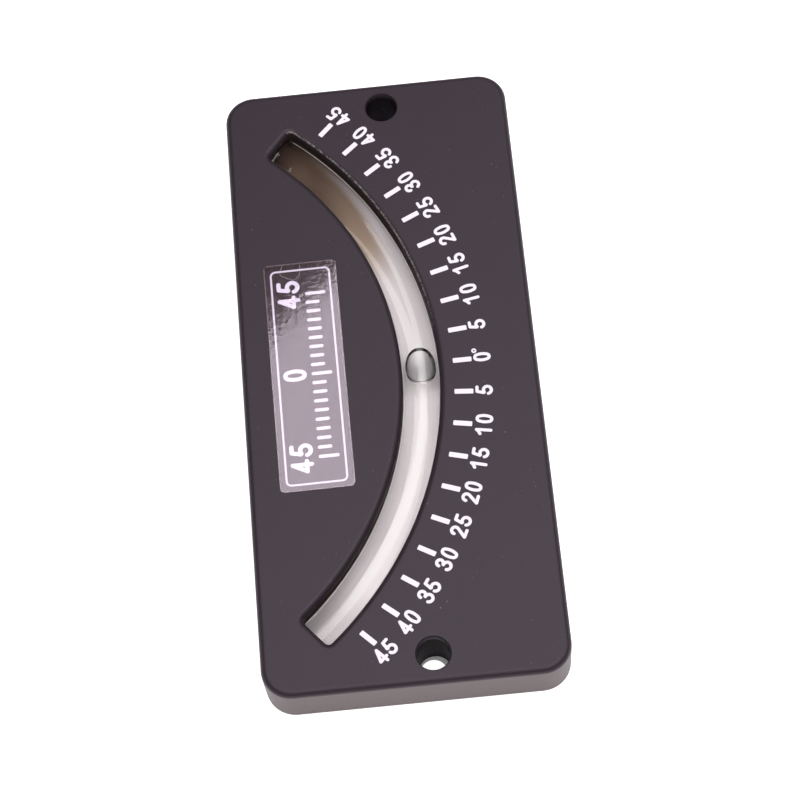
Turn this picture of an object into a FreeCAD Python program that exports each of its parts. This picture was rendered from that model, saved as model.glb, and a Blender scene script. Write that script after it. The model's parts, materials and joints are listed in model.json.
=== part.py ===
# Tube inclinometer: a curved glass vial with an air bubble, seated in a moulded housing.
#
# The gauge lies on its back. +Z points out of its face, +X runs along it in the reading
# direction and +Y points to the label's side. The origin is the middle of its back.
# The scale, the window and the vial are arcs about one axis, which is parallel to Z and
# crosses the Y axis far above the scale. A piece that follows the arc is built about that
# axis: its own origin is the arc's centre, and its -Y direction is the zero of the scale.

import FreeCAD, Part
import math
import os
import Sketcher

Vector = FreeCAD.Vector

# Millimetres and degrees. Every other size and place is worked out from these.
DRIVING_SIZES = [
    # The moulded housing
    ("housing_length", "134.6"),
    ("housing_width", "60"),
    ("housing_thickness", "12"),
    ("corner_radius", "6"),
    ("face_edge_radius", "1.3"),
    ("back_edge_radius", "0.4"),
    ("rim_wall", "2.5"),
    ("plate_ledge", "1.5"),
    ("face_wall", "3"),
    ("rib_thickness", "1.5"),
    ("rib_relief", "0.5"),
    ("rib_pitch", "12.5"),
    ("boss_diameter", "6.5"),
    # The two holes that fasten the gauge to a panel
    ("mount_hole_diameter", "6.6"),
    ("mount_hole_end_margin", "5.95"),
    ("mount_hole_drop", "3.4"),
    ("mount_boss_wall", "2.2"),
    ("mount_hole_edge_break", "0.25"),
    # The arc that the scale, the window and the vial share
    ("arc_centre_rise", "65.85"),
    ("vial_arc_radius", "72.1"),
    ("vial_half_angle", "50"),
    ("vial_diameter", "8"),
    ("vial_wall", "1"),
    ("vial_clearance", "0.1"),
    ("window_half_angle", "49.5"),
    ("window_lip", "0.25"),
    ("window_corner_radius", "1"),
    ("window_rim_radius", "1.2"),
    ("channel_wall", "1.6"),
    # What fills the vial
    ("liquid_clearance", "0.05"),
    ("bubble_length", "7.8"),
    ("bubble_width", "4.9"),
    ("bubble_height", "2.05"),
    ("bubble_lift", "0.8"),
    ("bubble_edge_radius", "0.4"),
    ("bubble_clearance", "0.3"),
    ("bubble_rest_angle", "0.9"),
    ("bubble_travel", "48"),
    # What holds the vial from behind
    ("sleeve_thickness", "0.3"),
    ("sleeve_clearance", "0.05"),
    ("sleeve_rise", "1.7"),
    ("cushion_end_thickness", "2"),
    ("cushion_depth", "4.6"),
    ("cushion_clearance", "0.05"),
    ("plate_thickness", "2"),
    ("plate_clearance", "0.15"),
    # Back plate screws
    ("screw_diameter", "2.5"),
    ("screw_head_diameter", "4.7"),
    ("screw_length", "7.5"),
    ("screw_tip_length", "1.2"),
    ("screw_tip_diameter", "0.8"),
    ("screw_recess_width", "2.6"),
    ("screw_recess_slot", "0.7"),
    ("screw_recess_depth", "0.8"),
    ("screw_clearance", "0.05"),
    ("screw_side_margin", "8"),
    ("screw_end_margin", "9.3"),
    # Printed ticks and the label's film
    ("tick_step", "5"),
    ("tick_count", "19"),
    ("tick_arc_radius", "80.7"),
    ("tick_length", "3.8"),
    ("tick_width", "1.05"),
    ("tick_corner_radius", "0.2"),
    ("ink_thickness", "0.05"),
    ("label_length", "51"),
    ("label_width", "15"),
    ("label_corner_radius", "1"),
    ("label_thickness", "0.12"),
    ("label_offset", "0.3"),
    ("label_rise", "16.4"),
    ("label_tilt", "0.4"),
]


class Size:
    """A size: its value now, and the expression that binds it to the sheet."""

    def __init__(self, value, text):
        self.value = value
        self.text = text

    def __add__(self, other):
        other = as_size(other)
        return Size(self.value + other.value, "(%s + %s)" % (self.text, other.text))

    def __sub__(self, other):
        other = as_size(other)
        return Size(self.value - other.value, "(%s - %s)" % (self.text, other.text))

    def __mul__(self, other):
        other = as_size(other)
        return Size(self.value * other.value, "(%s * %s)" % (self.text, other.text))

    def __truediv__(self, other):
        other = as_size(other)
        return Size(self.value / other.value, "(%s / %s)" % (self.text, other.text))

    def __neg__(self):
        return Size(-self.value, "(-1 * %s)" % self.text)


def as_size(value):
    """A plain number as a Size; a Size stays as it is."""
    return value if isinstance(value, Size) else Size(float(value), repr(value))


def sine(angle):
    return Size(math.sin(math.radians(angle.value)), "sin(%s)" % angle.text)


def cosine(angle):
    return Size(math.cos(math.radians(angle.value)), "cos(%s)" % angle.text)


def angle_of(arc_length, radius):
    """The angle in degrees that a length takes along an arc."""
    share = arc_length / radius
    return Size(math.degrees(share.value), "(%s * 180 / pi)" % share.text)


doc = FreeCAD.newDocument("tube_inclinometer")
sheet = doc.addObject("Spreadsheet::Sheet", "sizes")
for row, (alias, text) in enumerate(DRIVING_SIZES, start=1):
    sheet.set("A%d" % row, alias)
    sheet.set("B%d" % row, text)
    sheet.setAlias("B%d" % row, alias)
doc.recompute()


def size(alias):
    """The driving size of that name in the sheet."""
    return Size(float(getattr(sheet, alias)), "sizes." + alias)


# ---- Helpers for bodies, sketches and features ----

def make_body(label):
    body = doc.addObject("PartDesign::Body", label)
    body.Label = label
    return body


def origin_feature(body, role):
    """One of the body's own origin planes or axes."""
    return next(item for item in body.Origin.OriginFeatures if item.Role == role)


def place(item, x=None, y=None, z=None, turn=None):
    """Bind an object's place, and its turn about Z in degrees."""
    for axis, value in (("x", x), ("y", y), ("z", z)):
        if value is not None:
            item.setExpression("Placement.Base." + axis, value.text)
    if turn is not None:
        item.setExpression("Placement.Rotation.Angle", turn.text)


def add_sketch(body, name, plane="XY_Plane", offset=None):
    """A sketch on a plane of the body's origin, moved along its normal by the offset."""
    sketch = body.newObject("Sketcher::SketchObject", name)
    sketch.AttachmentSupport = [(origin_feature(body, plane), "")]
    sketch.MapMode = "FlatFace"
    if offset is not None:
        sketch.setExpression("AttachmentOffset.Base.z", offset.text)
    return sketch


def dimension(sketch, constraint, value):
    """Add a dimension that follows the value."""
    index = sketch.addConstraint(constraint)
    sketch.setExpression("Constraints[%d]" % index, value.text)


def fix_x(sketch, geometry, point, x):
    """Dimension a point from the sketch's vertical axis; with no x it lies on that axis."""
    if x is None:
        sketch.addConstraint(Sketcher.Constraint("PointOnObject", geometry, point, -2))
        return
    dimension(sketch, Sketcher.Constraint("DistanceX", -1, 1, geometry, point, x.value), x)


def fix_y(sketch, geometry, point, y):
    """Dimension a point from the sketch's horizontal axis; with no y it lies on that axis."""
    if y is None:
        sketch.addConstraint(Sketcher.Constraint("PointOnObject", geometry, point, -1))
        return
    dimension(sketch, Sketcher.Constraint("DistanceY", -1, 1, geometry, point, y.value), y)


def start_point(x, y):
    """Where a point starts before the sketch is solved."""
    return Vector(x.value if x else 0, y.value if y else 0, 0)


def draw_polygon(sketch, corners):
    """A closed outline of straight lines; each corner is a pair of sizes."""
    points = [start_point(x, y) for x, y in corners]
    count = len(corners)
    first = sketch.GeometryCount
    for index in range(count):
        sketch.addGeometry(Part.LineSegment(points[index], points[(index + 1) % count]), False)
    for index, (x, y) in enumerate(corners):
        following = first + (index + 1) % count
        sketch.addConstraint(Sketcher.Constraint("Coincident", first + index, 2, following, 1))
        fix_x(sketch, first + index, 1, x)
        fix_y(sketch, first + index, 1, y)


def draw_circle(sketch, radius, x=None, y=None):
    circle = Part.Circle(start_point(x, y), Vector(0, 0, 1), radius.value)
    index = sketch.addGeometry(circle, False)
    fix_x(sketch, index, 3, x)
    fix_y(sketch, index, 3, y)
    dimension(sketch, Sketcher.Constraint("Radius", index, radius.value), radius)


def draw_arc(sketch, x, y, radius, start_degrees, end_degrees):
    """An arc from one angle to the other, anticlockwise; constraints come later."""
    circle = Part.Circle(Vector(x, y, 0), Vector(0, 0, 1), radius)
    start = math.radians(start_degrees)
    end = math.radians(end_degrees)
    return sketch.addGeometry(Part.ArcOfCircle(circle, start, end), False)


def draw_rounded_rectangle(sketch, left, right, low, high, radius):
    """A rectangle with rounded corners, drawn anticlockwise from its low side."""
    x0, x1, y0, y1, r = left.value, right.value, low.value, high.value, radius.value
    ends = [
        (Vector(x0 + r, y0, 0), Vector(x1 - r, y0, 0)),
        (Vector(x1, y0 + r, 0), Vector(x1, y1 - r, 0)),
        (Vector(x1 - r, y1, 0), Vector(x0 + r, y1, 0)),
        (Vector(x0, y1 - r, 0), Vector(x0, y0 + r, 0)),
    ]
    centres = [(x1 - r, y0 + r, 270), (x1 - r, y1 - r, 0), (x0 + r, y1 - r, 90), (x0 + r, y0 + r, 180)]
    sides = [sketch.addGeometry(Part.LineSegment(start, end), False) for start, end in ends]
    arcs = [draw_arc(sketch, x, y, r, turn, turn + 90) for x, y, turn in centres]
    for index in range(4):
        following = sides[(index + 1) % 4]
        sketch.addConstraint(Sketcher.Constraint("Tangent", sides[index], 2, arcs[index], 1))
        sketch.addConstraint(Sketcher.Constraint("Tangent", arcs[index], 2, following, 1))
        straight = "Horizontal" if index % 2 == 0 else "Vertical"
        sketch.addConstraint(Sketcher.Constraint(straight, sides[index]))
    for arc in arcs[1:]:
        sketch.addConstraint(Sketcher.Constraint("Equal", arcs[0], arc))
    dimension(sketch, Sketcher.Constraint("Radius", arcs[0], r), radius)
    fix_y(sketch, sides[0], 1, low)
    fix_x(sketch, sides[1], 1, right)
    fix_y(sketch, sides[2], 1, high)
    fix_x(sketch, sides[3], 1, left)


def draw_arch(sketch, centre_x, centre_y, radius, base_y):
    """A channel's section: a half-round roof on two straight sides down to a flat base."""
    x, y, r, base = centre_x.value, centre_y.value, radius.value, base_y.value
    roof = draw_arc(sketch, x, y, r, 0, 180)
    left = sketch.addGeometry(Part.LineSegment(Vector(x - r, y, 0), Vector(x - r, base, 0)), False)
    floor = sketch.addGeometry(Part.LineSegment(Vector(x - r, base, 0), Vector(x + r, base, 0)), False)
    right = sketch.addGeometry(Part.LineSegment(Vector(x + r, base, 0), Vector(x + r, y, 0)), False)
    sketch.addConstraint(Sketcher.Constraint("Tangent", roof, 2, left, 1))
    sketch.addConstraint(Sketcher.Constraint("Tangent", right, 2, roof, 1))
    sketch.addConstraint(Sketcher.Constraint("Coincident", left, 2, floor, 1))
    sketch.addConstraint(Sketcher.Constraint("Coincident", floor, 2, right, 1))
    sketch.addConstraint(Sketcher.Constraint("Vertical", left))
    sketch.addConstraint(Sketcher.Constraint("Vertical", right))
    sketch.addConstraint(Sketcher.Constraint("Horizontal", floor))
    fix_x(sketch, roof, 3, centre_x)
    fix_y(sketch, roof, 3, centre_y)
    fix_y(sketch, floor, 1, base_y)
    dimension(sketch, Sketcher.Constraint("Radius", roof, r), radius)


def draw_open_ring(sketch, centre_x, centre_y, inner_radius, outer_radius, top_y):
    """A thin round wall, cut off level at its open top."""
    x, y, top = centre_x.value, centre_y.value, top_y.value
    arcs = []
    for radius in (outer_radius, inner_radius):
        turn = math.degrees(math.asin((top - y) / radius.value))
        arcs.append(draw_arc(sketch, x, y, radius.value, 180 - turn, 360 + turn))
    outer, inner = arcs
    left = sketch.addGeometry(Part.LineSegment(Vector(x - 1, top, 0), Vector(x - 0.9, top, 0)), False)
    right = sketch.addGeometry(Part.LineSegment(Vector(x + 0.9, top, 0), Vector(x + 1, top, 0)), False)
    sketch.addConstraint(Sketcher.Constraint("Coincident", outer, 1, left, 1))
    sketch.addConstraint(Sketcher.Constraint("Coincident", left, 2, inner, 1))
    sketch.addConstraint(Sketcher.Constraint("Coincident", inner, 2, right, 1))
    sketch.addConstraint(Sketcher.Constraint("Coincident", right, 2, outer, 2))
    sketch.addConstraint(Sketcher.Constraint("Coincident", inner, 3, outer, 3))
    sketch.addConstraint(Sketcher.Constraint("Horizontal", left))
    sketch.addConstraint(Sketcher.Constraint("Horizontal", right))
    fix_x(sketch, outer, 3, centre_x)
    fix_y(sketch, outer, 3, centre_y)
    fix_y(sketch, left, 1, top_y)
    fix_y(sketch, right, 1, top_y)
    dimension(sketch, Sketcher.Constraint("Radius", outer, outer_radius.value), outer_radius)
    dimension(sketch, Sketcher.Constraint("Radius", inner, inner_radius.value), inner_radius)


def draw_axis(sketch, x):
    """A vertical construction line, which a revolution turns about."""
    line = Part.LineSegment(Vector(x.value, 0, 0), Vector(x.value, 1, 0))
    index = sketch.addGeometry(line, True)
    fix_x(sketch, index, 1, x)
    fix_y(sketch, index, 1, None)
    sketch.addConstraint(Sketcher.Constraint("Vertical", index))
    dimension(sketch, Sketcher.Constraint("DistanceY", index, 1, index, 2, 1), as_size(1))


def extrude(body, kind, name, sketch, length, reverse=False):
    """A Pad or Pocket of a given length."""
    feature = body.newObject("PartDesign::" + kind, name)
    feature.Profile = (sketch, [""])
    feature.Reversed = reverse
    feature.setExpression("Length", length.text)
    return feature


def revolve(body, kind, name, sketch, half_angle, axis=None):
    """A Revolution or Groove, the same angle to both sides of the sketch."""
    feature = body.newObject("PartDesign::" + kind, name)
    feature.Profile = (sketch, [""])
    feature.ReferenceAxis = axis or (origin_feature(body, "Z_Axis"), [""])
    feature.Midplane = True
    feature.setExpression("Angle", (half_angle * 2).text)
    return feature


def dress_edges(body, kind, name, base, amount, wanted):
    """Fillet or Chamfer the edges of the base that the test picks."""
    doc.recompute()
    names = ["Edge%d" % (index + 1) for index, edge in enumerate(base.Shape.Edges) if wanted(edge)]
    feature = body.newObject("PartDesign::" + kind, name)
    feature.Base = (base, names)
    feature.setExpression("Radius" if kind == "Fillet" else "Size", amount.text)
    return feature


def lies_at_height(edge, height):
    box = edge.BoundBox
    return abs(box.ZMin - height) < 1e-4 and abs(box.ZMax - height) < 1e-4


def is_hole_mouth(edge, radius, heights):
    """Whether the edge is the rim of a round hole of that radius, at one of the heights."""
    box = edge.BoundBox
    fits = abs(box.XLength - radius.value * 2) < 1e-3 and abs(box.YLength - radius.value * 2) < 1e-3
    return fits and any(lies_at_height(edge, height) for height in heights)


def add_ball(body, kind, name, radius, x, y, z):
    """A sphere added to the body or taken from it; kind is Additive or Subtractive."""
    ball = body.newObject("PartDesign::%sSphere" % kind, name)
    ball.setExpression("Radius", radius.text)
    place(ball, x, y, z)
    return ball


# ---- Places that several pieces share ----

half_length = size("housing_length") / 2
half_width = size("housing_width") / 2
face_z = size("housing_thickness")
seat_z = size("plate_thickness")
ceiling_z = face_z - size("face_wall")

arc_radius = size("vial_arc_radius")
arc_rise = size("arc_centre_rise")
vial_radius = size("vial_diameter") / 2
bore_radius = vial_radius - size("vial_wall")
sleeve_inner_radius = vial_radius + size("sleeve_clearance")
sleeve_outer_radius = sleeve_inner_radius + size("sleeve_thickness")
sleeve_room = sleeve_outer_radius + size("sleeve_clearance")
vial_z = seat_z + sleeve_room
sleeve_top_z = vial_z + size("sleeve_rise")
shoulder_z = sleeve_top_z + size("sleeve_clearance")
vial_end_x = arc_radius * sine(size("vial_half_angle"))
vial_end_y = -(arc_radius * cosine(size("vial_half_angle")))

channel_radius = vial_radius + size("vial_clearance")
channel_reach = vial_radius + size("cushion_end_thickness")
channel_half_angle = size("vial_half_angle") + angle_of(channel_reach, arc_radius)
channel_section_x = arc_rise - arc_radius
window_half_width = vial_radius - size("window_lip")

mount_hole_x = half_length - size("mount_hole_end_margin")
mount_hole_y = -size("mount_hole_drop")
mount_hole_radius = size("mount_hole_diameter") / 2
mount_boss_radius = mount_hole_radius + size("mount_boss_wall")

screw_row_y = half_width - size("screw_side_margin")
screw_end_x = half_length - size("screw_end_margin")
upper_screw_x = size("rib_pitch") * 3
screw_hole_radius = size("screw_diameter") / 2 + size("screw_clearance")
CROSS_RIBS_EACH_SIDE = 4
SCREW_PLACES = [
    (-upper_screw_x, screw_row_y),
    (None, screw_row_y),
    (upper_screw_x, screw_row_y),
    (-screw_end_x, -screw_row_y),
    (None, -screw_row_y),
    (screw_end_x, -screw_row_y),
]


def draw_housing_rectangle(sketch, inset):
    """The housing's outline, moved inwards."""
    x = half_length - inset
    y = half_width - inset
    draw_rounded_rectangle(sketch, -x, x, -y, y, size("corner_radius") - inset)


# ---- Housing: a moulded block with an arc window, a channel for the vial and ribs inside ----

def make_housing():
    body = make_body("housing")

    outline = add_sketch(body, "outline")
    draw_housing_rectangle(outline, as_size(0))
    block = extrude(body, "Pad", "block", outline, face_z)
    face_edge = dress_edges(
        body, "Fillet", "face_edge", block, size("face_edge_radius"),
        lambda edge: lies_at_height(edge, face_z.value))
    dress_edges(
        body, "Fillet", "back_edge", face_edge, size("back_edge_radius"),
        lambda edge: lies_at_height(edge, 0))

    # The back is open: a shallow recess for the plate, and a deeper one inside its ledge.
    recess_sketch = add_sketch(body, "plate_recess_outline")
    draw_housing_rectangle(recess_sketch, size("rim_wall"))
    extrude(body, "Pocket", "plate_recess", recess_sketch, seat_z, reverse=True)
    hollow_sketch = add_sketch(body, "hollow_outline")
    draw_housing_rectangle(hollow_sketch, size("rim_wall") + size("plate_ledge"))
    extrude(body, "Pocket", "hollow", hollow_sketch, ceiling_z, reverse=True)

    add_inner_walls(body)
    cut_window(body)
    cut_holes(body)
    return body


def add_inner_walls(body):
    """Walls beside the channel, bosses for the screws and the mounting holes, and ribs.

    The mounting holes' bosses reach down to the back, so that a panel screw clamps nothing else.
    """
    wall_height = ceiling_z - seat_z
    outer = sleeve_room + size("channel_wall")
    wall_sketch = add_sketch(body, "channel_wall_section", "YZ_Plane")
    low_x = channel_section_x - outer
    high_x = channel_section_x + outer
    draw_polygon(wall_sketch, [(low_x, seat_z), (high_x, seat_z), (high_x, ceiling_z), (low_x, ceiling_z)])
    draw_axis(wall_sketch, arc_rise)
    wall_half_angle = channel_half_angle + angle_of(size("channel_wall"), arc_radius)
    revolve(body, "Revolution", "channel_walls", wall_sketch, wall_half_angle, (wall_sketch, ["Axis0"]))

    boss_sketch = add_sketch(body, "screw_boss_circles", offset=seat_z)
    for x, y in SCREW_PLACES:
        draw_circle(boss_sketch, size("boss_diameter") / 2, x, y)
    extrude(body, "Pad", "screw_bosses", boss_sketch, wall_height)
    mount_sketch = add_sketch(body, "mount_boss_circles")
    for x in (-mount_hole_x, mount_hole_x):
        draw_circle(mount_sketch, mount_boss_radius, x, mount_hole_y)
    extrude(body, "Pad", "mount_bosses", mount_sketch, ceiling_z)

    rib_height = wall_height - size("rib_relief")
    rib_z = seat_z + size("rib_relief")
    half_rib = size("rib_thickness") / 2
    inner_x = half_length - size("rim_wall")
    inner_y = half_width - size("rim_wall")
    long_sketch = add_sketch(body, "long_rib_outlines", offset=rib_z)
    for y in (-screw_row_y, screw_row_y):
        low = y - half_rib
        high = y + half_rib
        draw_polygon(long_sketch, [(-inner_x, low), (inner_x, low), (inner_x, high), (-inner_x, high)])
    extrude(body, "Pad", "long_ribs", long_sketch, rib_height)

    cross_sketch = add_sketch(body, "cross_rib_outline", offset=rib_z)
    first_rib_x = -(size("rib_pitch") * CROSS_RIBS_EACH_SIDE)
    low = first_rib_x - half_rib
    high = first_rib_x + half_rib
    draw_polygon(cross_sketch, [(low, -inner_y), (high, -inner_y), (high, inner_y), (low, inner_y)])
    cross_rib = extrude(body, "Pad", "cross_rib", cross_sketch, rib_height)
    cross_ribs = body.newObject("PartDesign::LinearPattern", "cross_ribs")
    cross_ribs.Originals = [cross_rib]
    cross_ribs.Direction = (cross_sketch, ["H_Axis"])
    cross_ribs.setExpression("Length", (-first_rib_x * 2).text)
    cross_ribs.Occurrences = 2 * CROSS_RIBS_EACH_SIDE + 1
    body.Tip = cross_ribs


def cut_window(body):
    """The arc window through the face, and the channel behind it that seats the vial.

    Below its shoulders the channel is wider, and has room for the sleeve round the vial.
    """
    low_x = channel_section_x - window_half_width
    high_x = channel_section_x + window_half_width
    top = face_z + size("window_rim_radius")
    bottom = -size("window_rim_radius")
    window_sketch = add_sketch(body, "window_section", "YZ_Plane")
    draw_polygon(window_sketch, [(low_x, bottom), (high_x, bottom), (high_x, top), (low_x, top)])
    draw_axis(window_sketch, arc_rise)
    axis = (window_sketch, ["Axis0"])
    window = revolve(body, "Groove", "window", window_sketch, size("window_half_angle"), axis)

    centre = Vector(0, arc_rise.value, 0)
    lip_radii = [arc_radius.value - window_half_width.value, arc_radius.value + window_half_width.value]
    end_angle = math.radians(size("window_half_angle").value)

    def is_window_corner(edge):
        box = edge.BoundBox
        if box.XLength > 1e-4 or box.YLength > 1e-4:
            return False
        spot = edge.Vertexes[0].Point - centre
        reach = math.hypot(spot.x, spot.y)
        turn = abs(math.atan2(spot.x, -spot.y))
        on_lip = min(abs(reach - radius) for radius in lip_radii) < 1e-3
        return on_lip and abs(turn - end_angle) < 1e-4

    corner_radius = size("window_corner_radius")
    dress_edges(body, "Fillet", "window_corners", window, corner_radius, is_window_corner)

    channel_sketch = add_sketch(body, "channel_section", "YZ_Plane")
    draw_arch(channel_sketch, channel_section_x, vial_z, channel_radius, bottom)
    draw_axis(channel_sketch, arc_rise)
    axis = (channel_sketch, ["Axis0"])
    revolve(body, "Groove", "channel", channel_sketch, channel_half_angle, axis)

    room_sketch = add_sketch(body, "sleeve_room_section", "YZ_Plane")
    low_x = channel_section_x - sleeve_room
    high_x = channel_section_x + sleeve_room
    draw_polygon(room_sketch, [(low_x, bottom), (high_x, bottom), (high_x, shoulder_z), (low_x, shoulder_z)])
    draw_axis(room_sketch, arc_rise)
    axis = (room_sketch, ["Axis0"])
    room = revolve(body, "Groove", "sleeve_room", room_sketch, channel_half_angle, axis)

    def is_window_rim(edge):
        if not lies_at_height(edge, face_z.value):
            return False
        middle = edge.valueAt((edge.FirstParameter + edge.LastParameter) / 2) - centre
        reach = math.hypot(middle.x, middle.y)
        turn = abs(math.atan2(middle.x, -middle.y))
        return abs(reach - arc_radius.value) < vial_radius.value and turn < end_angle + 1e-3

    dress_edges(body, "Fillet", "window_rim", room, size("window_rim_radius"), is_window_rim)


def cut_holes(body):
    """Mounting holes right through, and blind pilot holes for the back plate's screws."""
    mount_sketch = add_sketch(body, "mount_hole_circles")
    for x in (-mount_hole_x, mount_hole_x):
        draw_circle(mount_sketch, mount_hole_radius, x, mount_hole_y)
    mount_holes = extrude(body, "Pocket", "mount_holes", mount_sketch, face_z, reverse=True)
    dress_edges(
        body, "Chamfer", "mount_hole_edges", mount_holes, size("mount_hole_edge_break"),
        lambda edge: is_hole_mouth(edge, mount_hole_radius, (0, face_z.value)))
    pilot_sketch = add_sketch(body, "pilot_hole_circles")
    for x, y in SCREW_PLACES:
        draw_circle(pilot_sketch, screw_hole_radius, x, y)
    depth = size("screw_length") + size("screw_clearance")
    extrude(body, "Pocket", "pilot_holes", pilot_sketch, depth, reverse=True)


# ---- Vial: a bent glass tube with both ends sealed round, its liquid and its bubble ----

def make_arc_body(label):
    """A body whose own origin is the arc's centre."""
    body = make_body(label)
    place(body, y=arc_rise)
    return body


def make_vial_tube():
    body = make_arc_body("vial_tube")
    section = add_sketch(body, "outer_section", "YZ_Plane")
    draw_circle(section, vial_radius, -arc_radius, vial_z)
    revolve(body, "Revolution", "tube", section, size("vial_half_angle"))
    for side, x in (("left", -vial_end_x), ("right", vial_end_x)):
        add_ball(body, "Additive", side + "_end", vial_radius, x, vial_end_y, vial_z)
    bore = add_sketch(body, "bore_section", "YZ_Plane")
    draw_circle(bore, bore_radius, -arc_radius, vial_z)
    revolve(body, "Groove", "bore", bore, size("vial_half_angle"))
    for side, x in (("left", -vial_end_x), ("right", vial_end_x)):
        add_ball(body, "Subtractive", side + "_bore_end", bore_radius, x, vial_end_y, vial_z)
    return body


def make_vial_liquid():
    """The liquid fills the bore, apart from the way that the bubble takes through it."""
    body = make_arc_body("vial_liquid")
    liquid_radius = bore_radius - size("liquid_clearance")
    section = add_sketch(body, "liquid_section", "YZ_Plane")
    draw_circle(section, liquid_radius, -arc_radius, vial_z)
    revolve(body, "Revolution", "liquid", section, size("vial_half_angle"))
    for side, x in (("left", -vial_end_x), ("right", vial_end_x)):
        add_ball(body, "Additive", side + "_end", liquid_radius, x, vial_end_y, vial_z)
    way = add_sketch(body, "bubble_way_section", "YZ_Plane")
    low_x = -arc_radius - bore_radius
    high_x = -arc_radius + bore_radius
    low_z = vial_z + size("bubble_lift") - size("bubble_clearance")
    high_z = vial_z + bore_radius
    draw_polygon(way, [(low_x, low_z), (high_x, low_z), (high_x, high_z), (low_x, high_z)])
    way_end = size("bubble_length") / 2 + size("bubble_clearance")
    revolve(body, "Groove", "bubble_way", way, size("bubble_travel") + angle_of(way_end, arc_radius))
    return body


def make_air_bubble():
    """A long bubble that lies against the side of the bore that faces up, flat underneath."""
    body = make_arc_body("air_bubble")
    place(body, turn=size("bubble_rest_angle"))
    bubble_z = vial_z + size("bubble_lift")
    dome = body.newObject("PartDesign::AdditiveEllipsoid", "dome")
    dome.setExpression("Radius1", size("bubble_height").text)
    dome.setExpression("Radius2", (size("bubble_length") / 2).text)
    dome.setExpression("Radius3", (size("bubble_width") / 2).text)
    dome.Angle1 = 0
    place(dome, y=-arc_radius, z=bubble_z)
    dress_edges(
        body, "Fillet", "round_edge", dome, size("bubble_edge_radius"),
        lambda edge: lies_at_height(edge, bubble_z.value))
    return body


# ---- What holds the vial in its channel ----

def make_vial_backing():
    """A thin white sleeve, open at the front, that wraps the vial and shows through it."""
    body = make_arc_body("vial_backing")
    section = add_sketch(body, "sleeve_section", "YZ_Plane")
    draw_open_ring(section, -arc_radius, vial_z, sleeve_inner_radius, sleeve_outer_radius, sleeve_top_z)
    free_end = size("cushion_depth") + size("vial_clearance") * 2
    revolve(body, "Revolution", "sleeve", section, channel_half_angle - angle_of(free_end, arc_radius))
    return body


def make_end_cushion(label, side):
    """A soft block that fills the channel's end and cups the round end of the vial."""
    body = make_arc_body(label)
    half_cushion = angle_of(size("cushion_depth") / 2, arc_radius)
    middle = channel_half_angle - angle_of(size("cushion_clearance"), arc_radius) - half_cushion
    place(body, turn=middle * side)
    section = add_sketch(body, "block_section", "YZ_Plane")
    draw_arch(section, -arc_radius, vial_z, channel_radius - size("cushion_clearance"), seat_z)
    revolve(body, "Revolution", "block", section, half_cushion)
    foot_half_width = sleeve_room - size("cushion_clearance")
    low_x = -arc_radius - foot_half_width
    high_x = -arc_radius + foot_half_width
    foot_z = shoulder_z - size("cushion_clearance")
    foot_section = add_sketch(body, "foot_section", "YZ_Plane")
    draw_polygon(foot_section, [(low_x, seat_z), (high_x, seat_z), (high_x, foot_z), (low_x, foot_z)])
    revolve(body, "Revolution", "foot", foot_section, half_cushion)
    cup_angle = (middle - size("vial_half_angle")) * side
    cup_x = -(arc_radius * sine(cup_angle))
    cup_y = -(arc_radius * cosine(cup_angle))
    add_ball(body, "Subtractive", "cup", vial_radius + size("cushion_clearance"), cup_x, cup_y, vial_z)
    return body


# ---- Back plate and its screws ----

def make_back_plate():
    body = make_body("back_plate")
    outline = add_sketch(body, "outline")
    draw_housing_rectangle(outline, size("rim_wall") + size("plate_clearance"))
    extrude(body, "Pad", "plate", outline, seat_z)
    notch_sketch = add_sketch(body, "boss_notch_circles")
    for x in (-mount_hole_x, mount_hole_x):
        draw_circle(notch_sketch, mount_boss_radius + size("plate_clearance"), x, mount_hole_y)
    extrude(body, "Pocket", "boss_notches", notch_sketch, seat_z, reverse=True)
    screw_sketch = add_sketch(body, "screw_hole_circles")
    for x, y in SCREW_PLACES:
        draw_circle(screw_sketch, screw_hole_radius, x, y)
    screw_holes = extrude(body, "Pocket", "screw_holes", screw_sketch, seat_z, reverse=True)
    sink = size("screw_head_diameter") / 2 + size("screw_clearance") - screw_hole_radius
    dress_edges(
        body, "Chamfer", "countersinks", screw_holes, sink,
        lambda edge: is_hole_mouth(edge, screw_hole_radius, (0,)))
    return body


def make_screw(label, x, y):
    """A small countersunk screw with its head flush in the back plate, pointing up."""
    body = make_body(label)
    place(body, x, y)
    head = size("screw_head_diameter") / 2
    shank = size("screw_diameter") / 2
    tip = size("screw_tip_diameter") / 2
    neck_z = head - shank
    taper_z = size("screw_length") - size("screw_tip_length")
    profile = add_sketch(body, "half_section", "XZ_Plane")
    draw_polygon(profile, [
        (None, None),
        (head, None),
        (shank, neck_z),
        (shank, taper_z),
        (tip, size("screw_length")),
        (None, size("screw_length")),
    ])
    revolve(body, "Revolution", "screw", profile, as_size(180))
    recess = add_sketch(body, "cross_recess")
    arm = size("screw_recess_width") / 2
    slot = size("screw_recess_slot") / 2
    draw_polygon(recess, [
        (arm, -slot), (arm, slot), (slot, slot), (slot, arm), (-slot, arm), (-slot, slot),
        (-arm, slot), (-arm, -slot), (-slot, -slot), (-slot, -arm), (slot, -arm), (slot, -slot),
    ])
    extrude(body, "Pocket", "driver_recess", recess, size("screw_recess_depth"), reverse=True)
    return body


def make_back_plate_screws():
    """Six alike, kept together as one group of separate screws."""
    screws = []
    for number, (x, y) in enumerate(SCREW_PLACES, start=1):
        screws.append(make_screw("screw_%d" % number, x, y))
    group = doc.addObject("Part::Compound", "back_plate_screws")
    group.Label = "back_plate_screws"
    group.Links = screws
    return group


# ---- What is printed or stuck on the face ----

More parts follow.
